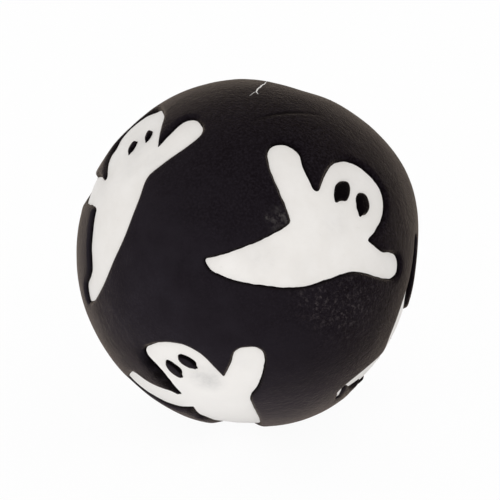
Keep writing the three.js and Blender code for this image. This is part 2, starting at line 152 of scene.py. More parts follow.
# Island of an eye: distance inside the eye's outline, and height of the skin there
ISLAND_DISTANCE = [-0.5, 0, 0.12, 0.28, 0.5, 0.8, 1.2]
ISLAND_HEIGHT = [-UNDER_COAT, -POCKET_FLOOR, -0.62, -0.3, -0.12, -0.04, -0.02]
OUTLINE_STEP = 0.5
EYE_STEP = 0.35
CORNER_ROUNDS = 1  # passes that round the carved corners
WALL_SLACK = 0.04  # a point of a wall is left out where its distance is off its row's by more
# painted shade: the clean, dark black below is shade painted on the pockets' walls
SHADE_DEPTH = 0.5  # carving over which the black turns clean and dark
SHADE_START = 0.4  # share of that depth that stays as the skin is
# the eyes' islands above this depth are spared part of the painted shade
UNSHADED_TOP = 0.3  # depth down to which the eyes' islands carry dust

# Spacing of points, and how near two of them are one
SKIN_STEP = 1.1
FLOOR_STEP = 2.2
COAT_STEP = 0.9
LINING_STEP = 3
SPLINE_STEPS = 40
JOIN_ON_BALL = 1e-7
JOIN_ON_PAPER = 1e-6
TINY = 1e-9  # keeps a length from being zero

# The white coat's brushed edge and face: how far they stray, and over what length
COAT_RAGGED = 0.13
RAGGED_LENGTHS = (1.7, 0.6)
COAT_UNEVEN = 0.05
UNEVEN_LENGTH = 2.4
# Steps between the seeds of the noise, so that no two edges stray alike
COAT_SEED = 20
EYE_SEED = 3
SHORT_SEED = 9

FOOT_SOFT = 0.25  # softness of the edge of the foot that the ball sinks flat on

# The squeaker, as in the part's source: heights along its axis, zero at the ball's surface
SQUEAKER_LATITUDE = -30
FLANGE_RADIUS = 9
FLANGE_EDGE = 0.9
BARREL_RADIUS = 5
BORE_RADIUS = 3.9
BARB_RADIUS = 7.2
BARB_LENGTH = 2.2
COLLAR_WALL = 2.4
COLLAR_RADIUS = 10.8
OUTLET_RADIUS = 1.6
OUTLET_LENGTH = 2.4
BARREL_LENGTH = 17
GUARD_WALL = 1
SEAT_RADIUS = FLANGE_RADIUS + CLEARANCE
SEAT_LIP = 1.3  # width of the skin's rounded edge around the flange
# Rounding of that edge: distance out from the seat, where the ball's round is taken, and depth below it
SEAT_ROUND = [(0.6, 0.6, 0.03), (0.25, 0, 0.12), (0.06, 0, 0.35), (0, 0, 0.7)]
CALM_LIPS = 3  # widths of the lip over which the skin's ripples start
FLANGE_BASE = math.sqrt(BALL_RADIUS ** 2 - FLANGE_RADIUS ** 2) - BALL_RADIUS - FLANGE_EDGE
SEAT_FLOOR = FLANGE_BASE - CLEARANCE
COLLAR_BASE = SEAT_FLOOR - COLLAR_WALL
COLLAR_EDGE = math.sqrt((BALL_RADIUS - SKIN_WALL) ** 2 - (BALL_RADIUS + COLLAR_BASE) ** 2)
BARB_TOP = COLLAR_BASE - CLEARANCE
GUARD_FLOOR = -BARREL_LENGTH - CLEARANCE
TURNED_STEPS = 96
DOME_STEPS = 8
PLUG_ROUND = 0.3
CORNER_SHARE = 2.2  # a rounded corner takes up at most one part in this of each side

# The stuffing
STUFFING_DETAIL = 5
TUFT_DEPTH = 1.6
TUFT_SCALE = 5
TUFT_NOISE = (0.7, 2.1, 4)  # roughness, step between sizes and count of sizes
LEAST_SLOPE = 0.05
GUARD_EASE = 2.5  # width of the slope beside the squeaker
COLLAR_ROOM = 6

# Camera: the photograph is 500 pixels square, and the ball's middle lies off its centre
IMAGE_SIZE = 500
CAMERA_ELEVATION = 25
CAMERA_DISTANCE = 450
SENSOR = 36
LENS = 171.9
BALL_PIXEL = (247.0, 251.4)

# Small marks, as pixels of the photograph
CREASE = [(250, 121.5), (284, 113.3), (326, 116.5)]
CREASE_DEPTH = 0.12
CREASE_WIDTH = 0.45
# share of painted shade along the crease, at its full depth
CREASE_SHADE = 1
CREASE_STEPS = 60
CREASE_ROWS = 4  # rows of points on each side, half a width apart
CREASE_CLEAR = 3  # widths within which no other points lie
CREASE_REACH = 0.35  # radians from its middle
WISP_STRANDS = [  # path and thickness
    ([(267.2, 80.6), (264.4, 84.4), (261.3, 85.8), (260.4, 87.3), (257.8, 89), (256.2, 92), (258.3, 94.2)],
     0.32),
    ([(256.4, 91.6), (253.4, 92.9), (249.6, 96)], 0.1),
]
WISP_STEPS = 5
WISP_TAPER = 0.3
WISP_LIFT = 0.02
SCUFFS = [((352, 308), 11), ((318, 297), 7)]  # place and radius
SMEARS = [((281, 219), 3.4, 0.75), ((267.5, 217), 0.8, 0.65)]  # place, radius and strength
# darker grey patches on the white coats
GREY_PATCHES = [  # place, radius and strength
    ((205.5, 382.5), 4.8, 0.88), ((338, 222), 4.5, 0.22), ((258, 255), 6, 0.24), ((305, 270), 4.5, 0.14),
    ((392, 262), 5, 0.2), ((136, 142), 5, 0.38), ((126, 164), 4.5, 0.3), ((100, 185), 5, 0.25),
    ((150, 160), 5, 0.25), ((246, 364), 4, 0.15),
]

# Wide patches of tone, which are painted light, the first with dust as well: longitude and latitude, and
# radius
# dust and painted light: the black is lighter on the ball's lower left side and darker away from it
DUST_AND_LIGHT = (-58, -28)
DUST_AND_LIGHT_RADIUS = 68
# painted light: the black is lighter on the underside, as light from the floor
LIT_UNDERSIDE = (5, -62)
LIT_UNDERSIDE_RADIUS = 30
# painted light: the white coats are brighter about ghost_low, low on the ball
LIT_WHITE = (-20, -45)
LIT_WHITE_RADIUS = 32

# Colours
# the two ends of the black's dust and painted light, dim and lit
BLACK_CLEAN_AND_DIM = (0.0026, 0.0012, 0.0018)
BLACK_DUSTY_AND_LIT = (0.0245, 0.021, 0.027)
BLACK_GRAIN = (0.016, 0.013, 0.0168)
# painted light from the floor on the underside
BLACK_LIT_UNDERSIDE = (0.049, 0.0415, 0.05)
BLACK_SCUFFED = (0.056, 0.047, 0.049)
BLACK_SMEARED = (0.085, 0.077, 0.075)
# painted shade in the pockets, on their walls and banks, along the crease and on the eyes' islands
BLACK_PAINTED_SHADE = (0.0026, 0.0019, 0.0025)
BLACK_SHEEN = (1, 0.84, 0.7, 1)
WHITE_DULL = (0.785, 0.757, 0.724)
WHITE_BRIGHT = (0.825, 0.8, 0.772)
WHITE_STAINED = (0.66, 0.63, 0.6)
# painted light on the white coats about ghost_low
WHITE_PAINTED_LIT = (0.925, 0.902, 0.876)
# grey of the patches on the white coats
WHITE_GREYED = (0.56, 0.55, 0.54)
PLASTIC_DULL = (0.74, 0.73, 0.68)
PLASTIC_BRIGHT = (0.8, 0.79, 0.745)
FILM_DARK = (0.5, 0.31, 0.09)
FILM_LIGHT = (0.6, 0.41, 0.14)
FIBRE_DULL = (0.76, 0.75, 0.71)
FIBRE_BRIGHT = (0.9, 0.89, 0.86)

# Light and floor
FLOOR_SIZE = 6  # metres
FLOOR_WHITE = 0.95
FLOOR_GLOW = 0.95  # share of the floor's plain white over its shadow
STUDIO_LIGHT = 0.88


# Directions and places on the ball

def direction(longitude, latitude):
    """Direction from the ball's middle, with the front at longitude zero."""
    turn, climb = math.radians(longitude), math.radians(latitude)
    return np.array([math.sin(turn) * math.cos(climb), -math.cos(turn) * math.cos(climb), math.sin(climb)])


def unit(vectors):
    return vectors / np.linalg.norm(vectors, axis=-1, keepdims=True)


class Spot:
    """A place on the ball with a flat sheet of drawing paper wrapped around it."""

    def __init__(self, longitude, latitude, roll=0):
        self.out = direction(longitude, latitude)
        east = direction(longitude + 90, 0)
        north = np.cross(self.out, east)
        turn = math.radians(roll)
        self.u = east * math.cos(turn) + north * math.sin(turn)
        self.v = north * math.cos(turn) - east * math.sin(turn)

    def to_ball(self, points):
        points = np.asarray(points, float)
        along = np.maximum(np.linalg.norm(points, axis=1, keepdims=True), TINY)
        angle = along / BALL_RADIUS
        sideways = points[:, :1] / along * self.u + points[:, 1:] / along * self.v
        return np.cos(angle) * self.out + np.sin(angle) * sideways

    def to_paper(self, directions):
        angle = np.arccos(np.clip(directions @ self.out, -1, 1))
        across = np.stack([directions @ self.u, directions @ self.v], 1)
        length = np.maximum(np.linalg.norm(across, axis=1), TINY)
        return across / length[:, None] * (angle * BALL_RADIUS)[:, None]


CAMERA_OUT = direction(0, CAMERA_ELEVATION)
CAMERA_RIGHT = np.array([1.0, 0, 0])
CAMERA_UP = np.cross(CAMERA_OUT, CAMERA_RIGHT)


def seen_at(pixel):
    """Direction from the ball's middle to the place on it that the photograph shows at a pixel."""
    focal = LENS / SENSOR * IMAGE_SIZE
    right, up = (pixel[0] - BALL_PIXEL[0]) / focal, (BALL_PIXEL[1] - pixel[1]) / focal
    ray = unit(CAMERA_RIGHT * right + CAMERA_UP * up - CAMERA_OUT)
    eye = CAMERA_OUT * CAMERA_DISTANCE
    half = ray @ eye
    reach = -half - math.sqrt(max(half ** 2 - CAMERA_DISTANCE ** 2 + BALL_RADIUS ** 2, 0))
    return unit(eye + ray * reach)


# Curves on the drawing paper

def spline(points, step, closed=False):
    """Smooth curve through the points, as evenly spaced points without the last one."""
    points = np.array(points, float)
    before, after = (points[-1:], points[:2]) if closed else (points[:1], points[-1:])
    padded = np.concatenate([before, points, after])
    t = np.linspace(0, 1, SPLINE_STEPS, endpoint=False)[:, None]
    fine = []
    for a, b, c, d in zip(padded, padded[1:], padded[2:], padded[3:]):
        fine.append(b + t / 2 * (c - a + t * (2 * a - 5 * b + 4 * c - d + t * (3 * (b - c) + d - a))))
    return spaced(np.concatenate(fine + [padded[-2:-1]]), step)


def spaced(points, step):
    """Points about one step apart along a path, without its last one."""
    length = np.concatenate([[0], np.cumsum(np.linalg.norm(np.diff(points, axis=0), axis=1))])
    count = max(int(round(length[-1] / step)), 3)
    at = np.linspace(0, length[-1], count, endpoint=False)
    return np.stack([np.interp(at, length, points[:, k]) for k in (0, 1)], 1)


def rounded(loop, passes):
    """Blends each point of a loop with its two neighbours."""
    for _ in range(passes):
        loop = (np.roll(loop, 1, 0) + 2 * loop + np.roll(loop, -1, 0)) / 4
    return loop


def outward_normals(loop):
    along = np.roll(loop, -1, 0) - np.roll(loop, 1, 0)
    return unit(np.stack([along[:, 1], -along[:, 0]], 1))


def nearness(points, place, reach):
    """Share by which each point lies near a place, which falls off softly with its reach."""
    return np.exp(-((points - place) ** 2).sum(1) / reach ** 2)


def pushed(points, pushes):
    """Moves the drawing's points as the carver's hand did."""
    points = np.array(points, float)
    moved = points.copy()
    for place, by, reach in pushes:
        moved += nearness(points, place, reach)[:, None] * by
    return moved


def ghost_outline(width, pushes):
    runs = [spline(pushed(run, pushes) * (width, 1), OUTLINE_STEP)
            for run in (HEAD, RAISED_ARM, BACK, HEM_AND_LOW_ARM)]
    return rounded(np.concatenate(runs), CORNER_ROUNDS)


def eye_outline(drawn, middle, to, size, turn):
    """A drawn eye, scaled and turned about its middle and moved to its place."""
    x, y = ((np.array(drawn) - middle) * size).T
    lean = math.radians(turn)
    turned = np.stack([x * math.cos(lean) + y * math.sin(lean), y * math.cos(lean) - x * math.sin(lean)], 1)
    return spline(turned + to, EYE_STEP, closed=True)


def signed_distance(points, loop):
    """Distance of each point outside a closed loop, negative inside it."""
    start, end = loop, np.roll(loop, -1, 0)
    span = end - start
    offset = points[:, None] - start
    share = np.clip((offset * span).sum(2) / (span ** 2).sum(1), 0, 1)
    distance = np.linalg.norm(offset - share[..., None] * span, axis=2).min(1)
    x, y = points[:, 0, None], points[:, 1, None]
    crosses = (start[:, 1] > y) != (end[:, 1] > y)
    rise = np.where(span[:, 1] == 0, 1, span[:, 1])
    left = x < start[:, 0] + (y - start[:, 1]) / rise * span[:, 0]
    inside = (crosses & left).sum(1) % 2 == 1
    return np.where(inside, -distance, distance)


class Ghost:
    """One sunken ghost: its outline and eyes on the paper, the shape of its pocket, and its painted shade.
    """

    def __init__(self, name, longitude, latitude, roll, width=1, eyes=EYE_MIDDLES, eye_size=(1, 1),
                 eye_turn=0, eye_unshaded=0, depths=(), banks=(), pushes=()):
        self.name = name
        self.eye_unshaded = eye_unshaded
        self.depths = depths
        self.banks = banks
        self.spot = Spot(longitude, latitude, roll)
        self.outline = ghost_outline(width, pushes)
        self.eyes = [eye_outline(drawn, middle, (to[0] * width, to[1]), eye_size, eye_turn)
                     for drawn, middle, to in zip((LEFT_EYE, RIGHT_EYE), EYE_MIDDLES, eyes)]

    def near(self, directions):
        """Which of the directions the ghost's wall can reach."""
        return np.flatnonzero(directions @ self.spot.out > math.cos(GHOST_REACH / BALL_RADIUS))

    def depth(self, paper):
        """Share of the full depth to which the ghost was carved, at points on the paper."""
        share = np.ones(len(paper))
        for place, more, reach in self.depths:
            share += more * nearness(paper, place, reach)
        return share

    def relief(self, paper):
        """Height of the skin over its own round, at points on the paper."""
        outside = signed_distance(paper, self.outline)
        shares = self.bank_shares(paper)
        wider = [stretch * share for (_, stretch, _), share in zip(self.banks, shares)]
        height = np.interp(outside / (1 + np.max([0 * outside, *wider], 0)), WALL_DISTANCE, WALL_HEIGHT)
        for eye in self.eyes:
            island = np.interp(-signed_distance(paper, eye), ISLAND_DISTANCE, ISLAND_HEIGHT)
            height = np.maximum(height, np.where(outside < 0, island, height))
        return height * self.depth(paper)

    def bank_shares(self, paper):
        """How far points on the paper lie in each bank, where the wall may be stretched into a soft slope
        and painted shade is laid on.
        """
        return [nearness(paper, place, reach) for place, _, reach in self.banks]

    def shade(self, paper):
        """Share of painted shade: darker black in the pocket, on its walls and banks, and on the eyes'
        islands.
        """
        relief = self.relief(paper)
        shade = np.clip(-relief / SHADE_DEPTH - SHADE_START, 0, 1)
        inside = signed_distance(paper, self.outline) < 0
        shade = np.where(inside, 1 - self.eye_unshaded * (relief > -UNSHADED_TOP), shade)
        return np.max([shade, *self.bank_shares(paper)], 0)

    def wall_points(self):
        """Rows of points along the wall of the pocket and of its two islands."""
        rows = []
        for loop, distances, side in [(self.outline, WALL_DISTANCE, 1)] + [
                (eye, ISLAND_DISTANCE, -1) for eye in self.eyes]:
            normals = outward_normals(loop) * side
            for distance in distances:
                row = loop + normals * distance
                rows.append(row[np.abs(signed_distance(row, loop) * side - distance) < WALL_SLACK])
        return np.concatenate(rows)


ghosts = [Ghost(**ghost) for ghost in GHOSTS]
squeaker = Spot(180, SQUEAKER_LATITUDE)


# Shape of the skin

LUMP_PLACES = [(direction(longitude, latitude), rise, spread) for longitude, latitude, rise, spread in LUMPS]


def ball_height(directions):
    """Radius of the lumpy ball without its ghosts."""
    radius = np.full(len(directions), float(BALL_RADIUS))
    for out, rise, spread in LUMP_PLACES:
        along = np.arccos(np.clip(directions @ out, -1, 1)) * BALL_RADIUS
        radius += rise * np.exp(-(along / spread) ** 2)
    from_squeaker = np.arccos(np.clip(directions @ squeaker.out, -1, 1)) * BALL_RADIUS
    calm = np.clip((from_squeaker - SEAT_RADIUS - SEAT_LIP) / SEAT_LIP / CALM_LIPS, 0, 1)
    for wavelength, height in RIPPLES:
        wave = [noise.noise(Vector(out * BALL_RADIUS / wavelength)) for out in directions]
        radius += height * np.array(wave) * calm
    return radius


def crease_points():
    """The crease near the top, as a bow through its three places."""
    start, middle, end = [seen_at(pixel) for pixel in CREASE]
    pull = 2 * middle - (start + end) / 2
    t = np.linspace(0, 1, CREASE_STEPS)[:, None]
    return unit((1 - t) ** 2 * start + 2 * t * (1 - t) * pull + t ** 2 * end)


def crease_relief(directions, crease):
    """Depth of the crease, which fades out at both ends."""
    depth = np.zeros(len(directions))
    near = np.flatnonzero(directions @ crease[len(crease) // 2] > math.cos(CREASE_REACH))
    along = directions[near] @ crease.T
    nearest = along.argmax(1)
    distance = np.arccos(np.clip(along.max(1), -1, 1)) * BALL_RADIUS
    fade = np.sin(math.pi * (nearest + 0.5) / len(crease))
    depth[near] = CREASE_DEPTH * fade * np.exp(-(distance / CREASE_WIDTH) ** 2)
    return depth


def crease_rows(crease):
    """Rows of points along the crease and on both sides of it."""
    along = np.gradient(crease, axis=0)
    sideways = unit(np.cross(crease, along))
    rows = [unit(crease + sideways * k * CREASE_WIDTH / 2 / BALL_RADIUS)
            for k in range(-CREASE_ROWS, CREASE_ROWS + 1)]
    return np.concatenate(rows)


def even_directions(step):
    """Evenly spread directions, about one step apart on the ball."""
    count = int(4 * math.pi * (BALL_RADIUS / step) ** 2)
    k = np.arange(count) + 0.5
    height, turn = 1 - 2 * k / count, k * math.pi * (1 + math.sqrt(5))
    ring = np.sqrt(1 - height ** 2)
    return np.stack([ring * np.cos(turn), ring * np.sin(turn), height], 1)


def skin_directions(crease):
    """Points of the skin: rows along each wall and crease, and an even spread elsewhere."""
    spread = even_directions(SKIN_STEP)
    keep = (spread @ crease.T).max(1) < math.cos(CREASE_CLEAR * CREASE_WIDTH / BALL_RADIUS)
    keep &= spread @ squeaker.out < math.cos((SEAT_RADIUS + SEAT_LIP + SKIN_STEP / 2) / BALL_RADIUS)
    rows = [crease_rows(crease)]
    for ghost in ghosts:
        near = ghost.near(spread)
        paper = ghost.spot.to_paper(spread[near])
        keep[near] &= signed_distance(paper, ghost.outline) > WALL_DISTANCE[-1] + SKIN_STEP / 3
        reach = np.arange(-GHOST_REACH, GHOST_REACH, FLOOR_STEP)
        floor = np.stack(np.meshgrid(reach, reach), 2).reshape(-1, 2)
        floor = floor[signed_distance(floor, ghost.outline) < -FLOOR_STEP / 2]
        for eye in ghost.eyes:
            floor = floor[signed_distance(floor, eye) > FLOOR_STEP / 2]
        rows += [ghost.spot.to_ball(floor), ghost.spot.to_ball(ghost.wall_points())]
    return np.concatenate([spread[keep]] + rows)


def seat_ring(radius, height):
    """Ring of points about the squeaker's axis, at a height over the ball's surface there."""
    turn = np.arange(TURNED_STEPS) * 2 * math.pi / TURNED_STEPS
    around = np.cos(turn)[:, None] * squeaker.u + np.sin(turn)[:, None] * squeaker.v
    return CENTRE + squeaker.out * (BALL_RADIUS + height) + around * radius


def drop(radius):
    """Height of the ball's round at a radius from the squeaker's axis."""
    return math.sqrt(BALL_RADIUS ** 2 - radius ** 2) - BALL_RADIUS


def flattened(points):
    """Sinks the ball flat on its foot, with a soft edge."""
    points = points.copy()
    points[:, 2] = (points[:, 2] + np.sqrt(points[:, 2] ** 2 + FOOT_SOFT ** 2)) / 2
    return points


def wrapped(directions):
    """Triangles between directions all round the ball, apart from the squeaker's seat."""
    away = 1 - directions @ squeaker.out
    flat = [Vector((out @ squeaker.u / w, out @ squeaker.v / w)) for out, w in zip(directions, away)]
    _, _, faces, origins, _, _ = delaunay_2d_cdt(flat, [], [], 0, JOIN_ON_BALL)
    return [[origins[k][0] for k in face] for face in faces]


def seat_rings():
    """Rings of the squeaker's seat, from its rounded edge through the hole to the skin's lining."""
    edge = [(SEAT_RADIUS + out, drop(SEAT_RADIUS + at) - below) for out, at, below in SEAT_ROUND]
    hole = BARREL_RADIUS + CLEARANCE
    inside = [(SEAT_RADIUS, SEAT_FLOOR), (hole, SEAT_FLOOR), (hole, COLLAR_BASE), (COLLAR_EDGE, COLLAR_BASE)]
    return [seat_ring(radius, height) for radius, height in edge + inside]


def make_skin():
    """The skin with its pockets, the squeaker's seat and a plain lining."""
    crease = crease_points()
    edge = unit(seat_ring(SEAT_RADIUS + SEAT_LIP, drop(SEAT_RADIUS + SEAT_LIP)) - CENTRE)
    directions = np.concatenate([edge, skin_directions(crease)])
    fold = crease_relief(directions, crease)
    height = ball_height(directions) - fold
    # Painted shade: darker black along the crease and in and beside each ghost's pocket
    painted_shade = fold / CREASE_DEPTH * CREASE_SHADE
    for ghost in ghosts:
        near = ghost.near(directions)
        paper = ghost.spot.to_paper(directions[near])
        height[near] += ghost.relief(paper)
        painted_shade[near] = np.maximum(painted_shade[near], ghost.shade(paper))
    points = flattened(CENTRE + directions * height[:, None])
    faces = wrapped(directions)
    rings = seat_rings()
    inner = list(range(TURNED_STEPS))
    count = len(points)
    for ring in rings:
        outer, inner = inner, list(range(count, count + TURNED_STEPS))
        count += TURNED_STEPS
        for a in range(TURNED_STEPS):
            b = (a + 1) % TURNED_STEPS
            faces.append([outer[a], outer[b], inner[b], inner[a]])
    lining = even_directions(LINING_STEP)
    lining = lining[lining @ squeaker.out < math.cos((COLLAR_EDGE + LINING_STEP) / BALL_RADIUS)]
    wall = CENTRE + lining * (ball_height(lining) - SKIN_WALL)[:, None]
    lining_faces = np.array(wrapped(np.concatenate([unit(rings[-1] - CENTRE), lining])))
    faces += (lining_faces + count - TURNED_STEPS).tolist()
    points = np.concatenate([points, *rings, wall])
    painted_shade = np.concatenate([painted_shade, np.zeros(len(points) - len(painted_shade))])
    return make_mesh("skin", points, faces, painted_shade)


# Meshes

SHARP_ANGLE = math.radians(50)


def make_mesh(name, points, faces, painted_shade=None):
    """A smooth piece from points in millimetres, with faces turned outward."""
    mesh = bpy.data.meshes.new(name)
    places = [tuple(point) for point in np.asarray(points) * MM]
    mesh.from_pydata(places, [], [list(map(int, face)) for face in faces])
    # the share of painted shade, kept on the points for the black's material
    if painted_shade is not None:
        mesh.attributes.new("painted_shade", "FLOAT", "POINT").data.foreach_set("value", painted_shade)
    edit = bmesh.new()
    edit.from_mesh(mesh)
    loose = [vertex for vertex in edit.verts if not vertex.link_faces]
    bmesh.ops.delete(edit, geom=loose, context="VERTS")
    bmesh.ops.recalc_face_normals(edit, faces=edit.faces)
    edit.to_mesh(mesh)
    edit.free()
    mesh.shade_smooth()
    mesh.set_sharp_from_angle(angle=SHARP_ANGLE)
    piece = bpy.data.objects.new(name, mesh)
    bpy.context.scene.collection.objects.link(piece)
    return piece


def ragged(loop, seed):
    """A hand-brushed copy of a loop that strays a little from it."""
    long, short = RAGGED_LENGTHS
    stray = [noise.noise(Vector((x / long, y / long, seed)))
             + noise.noise(Vector((x / short, y / short, seed + SHORT_SEED))) / 2 for x, y in loop]
    return loop + outward_normals(loop) * (np.array(stray) * COAT_RAGGED)[:, None]


def make_coat(ghost, seed):
    """The white coat: a thin closed sheet on the pocket's floor, open around the eyes."""
    outline = ragged(ghost.outline, seed)
    eyes = [ragged(eye, seed + EYE_SEED) for eye in ghost.eyes]
    reach = np.arange(-GHOST_REACH, GHOST_REACH, COAT_STEP)
    inner = np.stack(np.meshgrid(reach, reach), 2).reshape(-1, 2)
    inner[:, 0] += np.where(np.arange(len(inner)) // len(reach) % 2, COAT_STEP / 2, 0)
    inner = inner[signed_distance(inner, outline) < -COAT_STEP / 2]
    for eye in eyes:
        inner = inner[signed_distance(inner, eye) > COAT_STEP / 2]
    loops = [outline] + eyes
    paper = np.concatenate(loops + [inner])
    edges = []
    for loop in loops:
        first = len(edges)
        edges += [(first + k, first + (k + 1) % len(loop)) for k in range(len(loop))]
    flat = [Vector(point) for point in paper]
    _, _, faces, origins, _, _ = delaunay_2d_cdt(flat, edges, [], 0, JOIN_ON_PAPER)
    faces = np.array([[origins[k][0] for k in face] for face in faces])
    middle = paper[faces].mean(1)
    keep = signed_distance(middle, outline) < 0
    for eye in eyes:
        keep &= signed_distance(middle, eye) > 0
    faces = faces[keep]
    directions = ghost.spot.to_ball(paper)
    radius = ball_height(directions)
    uneven = [COAT_UNEVEN * noise.noise(Vector((x / UNEVEN_LENGTH, y / UNEVEN_LENGTH, seed)))
              for x, y in paper]
    share = ghost.depth(paper)
    top = CENTRE + directions * (radius - (GHOST_SINK + np.array(uneven)) * share)[:, None]
    base = CENTRE + directions * (radius - COAT_BASE * share)[:, None]
    count = len(paper)
    sides = [[a, b, b + count, a + count] for a, b in edges]
    return make_mesh(ghost.name + "_coat", np.concatenate([top, base]),
                     [*faces, *(faces[:, ::-1] + count), *sides])


def make_wisp():
    """A dried thread of white paint that lies on the top of the ball, with a side strand."""
    points, faces = [], []
    for pixels, thickness in WISP_STRANDS:
        ends = np.array([seen_at(pixel) for pixel in pixels])
        t = np.linspace(0, len(ends) - 1, WISP_STEPS * len(ends))
        path = unit(np.stack([np.interp(t, range(len(ends)), ends[:, k]) for k in range(3)], 1))
        path = unit(np.concatenate([path[:1], (path[:-2] + path[1:-1] + path[2:]) / 3, path[-1:]]))
        sideways = unit(np.cross(path, np.gradient(path, axis=0)))
        width = thickness * np.sin(np.linspace(WISP_TAPER, math.pi - WISP_TAPER, len(path)))[:, None]
        centre = CENTRE + path * (ball_height(path) + WISP_LIFT)[:, None]
        first, count = sum(map(len, points)), len(path)
        points += [centre - sideways * width / 2, centre + path * width / 2, centre + sideways * width / 2,
                   centre - path * width / 2]
        for side in range(4):
            a, b = first + side * count, first + (side + 1) % 4 * count
            faces += [[a + k, a + k + 1, b + k + 1, b + k] for k in range(count - 1)]
        faces += [[first + side * count + end for side in range(4)] for end in (0, count - 1)]
    return make_mesh("paint_wisp", np.concatenate(points), faces)


def make_turned(name, profile):
    """A closed turned piece about the squeaker's axis, from radius and height."""
    rings = [seat_ring(radius, height) for radius, height in profile]
    faces = []
    for k in range(len(rings)):
        a, b = k * TURNED_STEPS, (k + 1) % len(rings) * TURNED_STEPS
        for j in range(TURNED_STEPS):
            i = (j + 1) % TURNED_STEPS
            faces.append([a + j, a + i, b + i, b + j])
    return make_mesh(name, np.concatenate(rings), faces)


def eased(points, radius, steps=4):
    """Rounds every corner of a closed profile by up to a radius."""
    points = [np.array(point, float) for point in points]
    result = []
    for before, corner, after in zip(points[-1:] + points[:-1], points, points[1:] + points[:1]):
        back, ahead = before - corner, after - corner
        cut = min(radius, np.linalg.norm(back) / CORNER_SHARE, np.linalg.norm(ahead) / CORNER_SHARE)
        start, end = corner + unit(back) * cut, corner + unit(ahead) * cut
        for t in np.linspace(0, 1, steps):
            result.append((1 - t) ** 2 * start + 2 * t * (1 - t) * corner + t ** 2 * end)
    return result


def make_plug():
    """The squeaker's plug: flange, neck, barb and barrel, with rounded corners."""
    dome = [(radius, drop(radius)) for radius in np.linspace(OUTLET_RADIUS, FLANGE_RADIUS, DOME_STEPS)]
    profile = dome + [
        (FLANGE_RADIUS, FLANGE_BASE), (BARREL_RADIUS, FLANGE_BASE),
        (BARREL_RADIUS, BARB_TOP), (BARB_RADIUS, BARB_TOP), (BARREL_RADIUS, BARB_TOP - BARB_LENGTH),
        (BARREL_RADIUS, -BARREL_LENGTH), (BORE_RADIUS, -BARREL_LENGTH),
        (BORE_RADIUS, -OUTLET_LENGTH), (OUTLET_RADIUS, -OUTLET_LENGTH)]
    return make_turned("plug", eased(profile, PLUG_ROUND))


def make_stuffing():
    """Loose fibre: a tufted ball that leaves room for the squeaker."""
    edit = bmesh.new()
    bmesh.ops.create_icosphere(edit, subdivisions=STUFFING_DETAIL, radius=1)
    directions = unit(np.array([vertex.co for vertex in edit.verts]))
    faces = [[vertex.index for vertex in face.verts] for face in edit.faces]
    edit.free()
    radius = ball_height(directions) - SKIN_WALL - CLEARANCE
    tufts = [abs(noise.fractal(Vector(out * TUFT_SCALE), *TUFT_NOISE)) for out in directions]
    radius -= TUFT_DEPTH * np.array(tufts)
    slope = np.clip(directions @ squeaker.out, LEAST_SLOPE, 1)
    guard_reach = (BALL_RADIUS + GUARD_FLOOR - GUARD_WALL - 2 * CLEARANCE) / slope
    side = guard_reach * np.sqrt(1 - slope ** 2)
    beside = np.clip((side - BARB_RADIUS - 2 * CLEARANCE) / GUARD_EASE, 0, 1)
    beside = beside ** 2 * (3 - 2 * beside)
    roomy = np.minimum(radius, guard_reach) * (1 - beside) + radius * beside
    collar = np.arccos(slope) * BALL_RADIUS < COLLAR_RADIUS + COLLAR_ROOM
    low = BALL_RADIUS + BARB_TOP - CLEARANCE
    roomy = np.where(collar, np.minimum(roomy, low / slope), roomy)
    return make_mesh("stuffing", CENTRE + directions * roomy[:, None], faces)


# Materials

